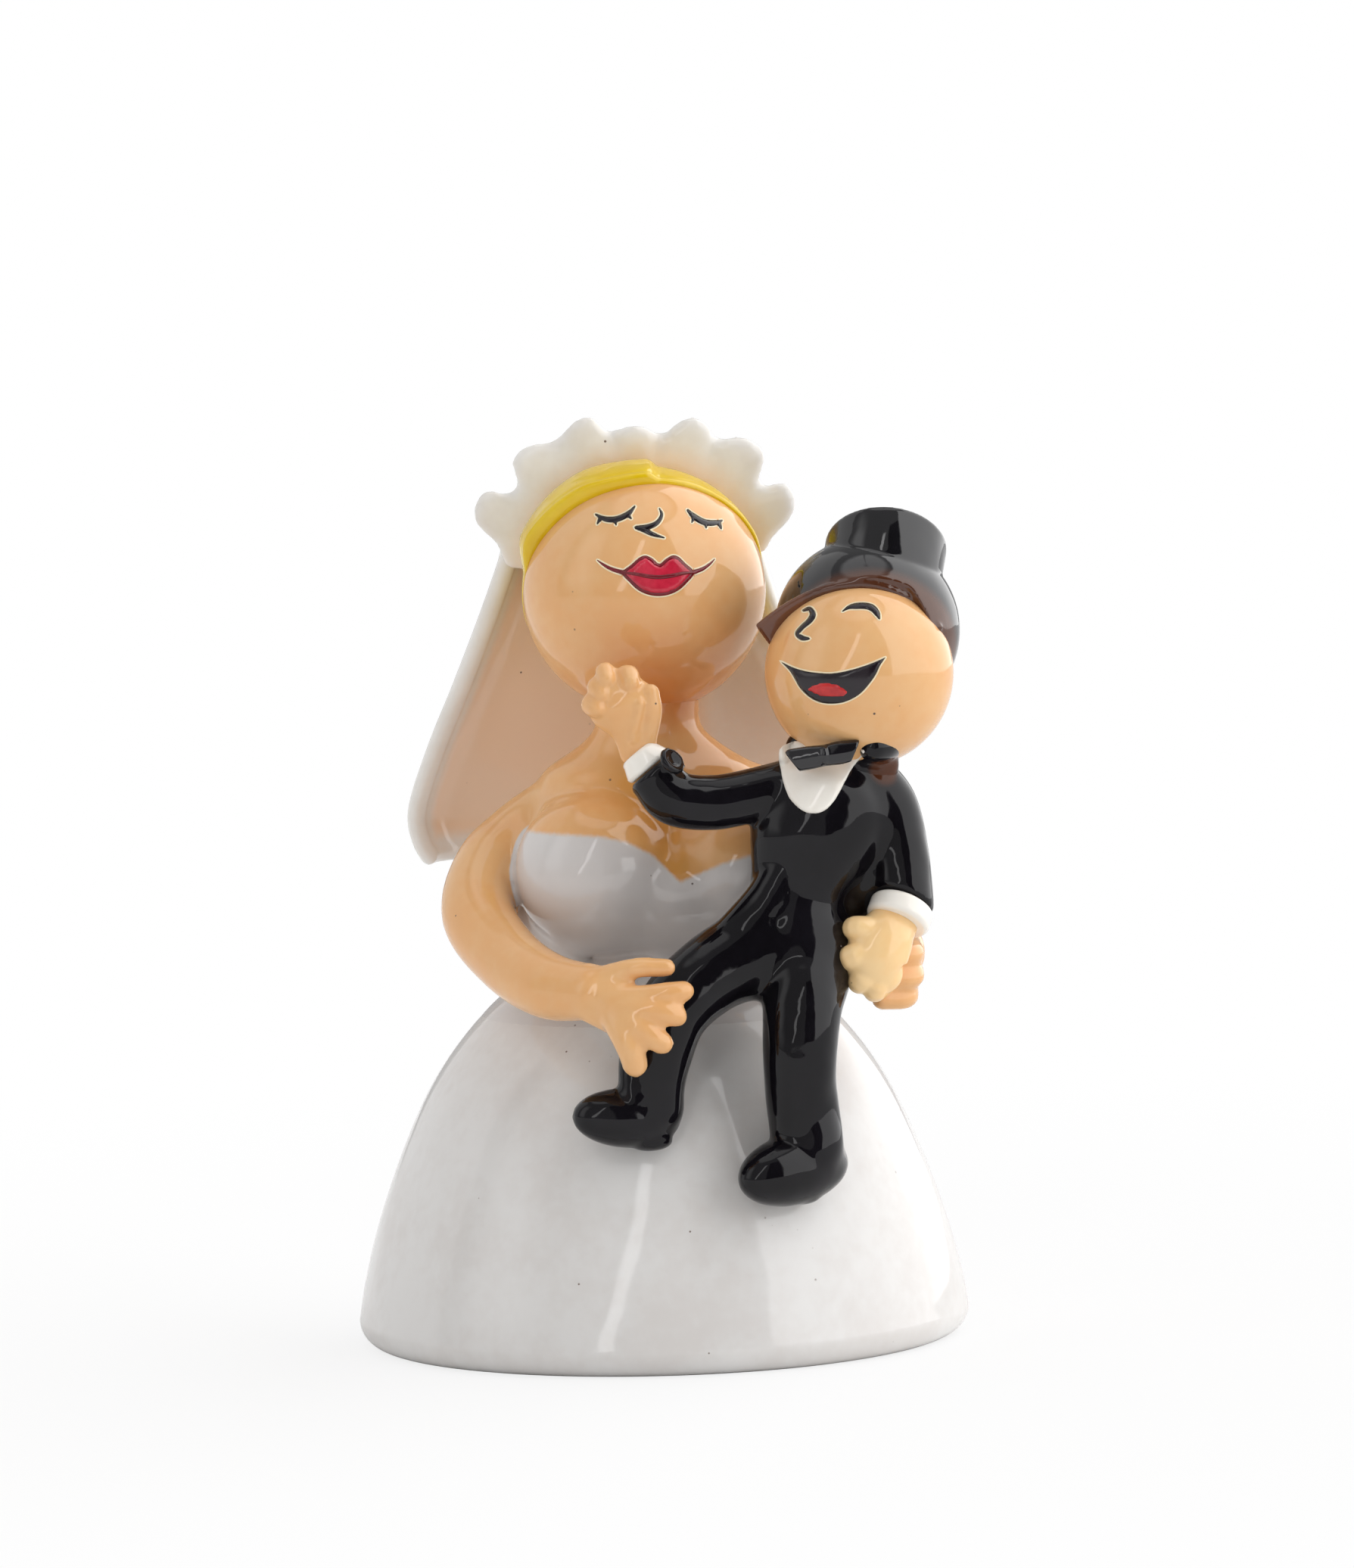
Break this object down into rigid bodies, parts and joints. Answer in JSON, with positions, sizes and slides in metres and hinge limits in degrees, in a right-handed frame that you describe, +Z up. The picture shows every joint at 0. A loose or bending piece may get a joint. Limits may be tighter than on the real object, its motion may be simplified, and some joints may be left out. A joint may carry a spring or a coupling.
{
  "type": "wedding cake topper",
  "caption": "glazed figurine of a bride who carries her groom in her arms, standing on the flat foot of her bell-shaped gown; sits on top of a wedding cake",
  "frame": {"origin": "middle of the flat underside, on the base plate's lower face", "axes": "+Z up, the couple faces -Y, +X to the right of someone who looks at their faces"},
  "size_m": [0.1, 0.0964, 0.1501],
  "materials": {
    "white_glaze": "glossy white glaze over a cast body",
    "skin_glaze": "glossy peach glaze, sprayed and a little uneven",
    "yellow_glaze": "glossy yellow glaze",
    "black_glaze": "very glossy black glaze"
  },
  "bodies": {
    "root": {"skirt": "white_glaze", "base_plate": "white_glaze", "bride_torso": "skin_glaze", "bride_head": "skin_glaze", "bride_hair": "yellow_glaze", "groom_head": "skin_glaze", "groom_body": "black_glaze", "bride_right_arm": "skin_glaze", "bride_left_arm": "skin_glaze", "groom_right_leg": "black_glaze", "groom_left_leg": "black_glaze", "groom_right_shoe": "black_glaze", "groom_left_shoe": "black_glaze", "groom_right_sleeve": "black_glaze", "groom_left_sleeve": "black_glaze", "groom_right_cuff": "white_glaze", "groom_left_cuff": "white_glaze", "groom_right_hand": "skin_glaze", "groom_left_hand": "skin_glaze", "bride_right_hand": "skin_glaze", "bride_left_hand": "skin_glaze", "groom_collar": "black_glaze", "groom_shirt_front": "white_glaze", "groom_bow_tie": "black_glaze", "groom_hat": "black_glaze", "veil_headpiece": "white_glaze", "veil": "white_glaze"}
  },
  "joints": []
}
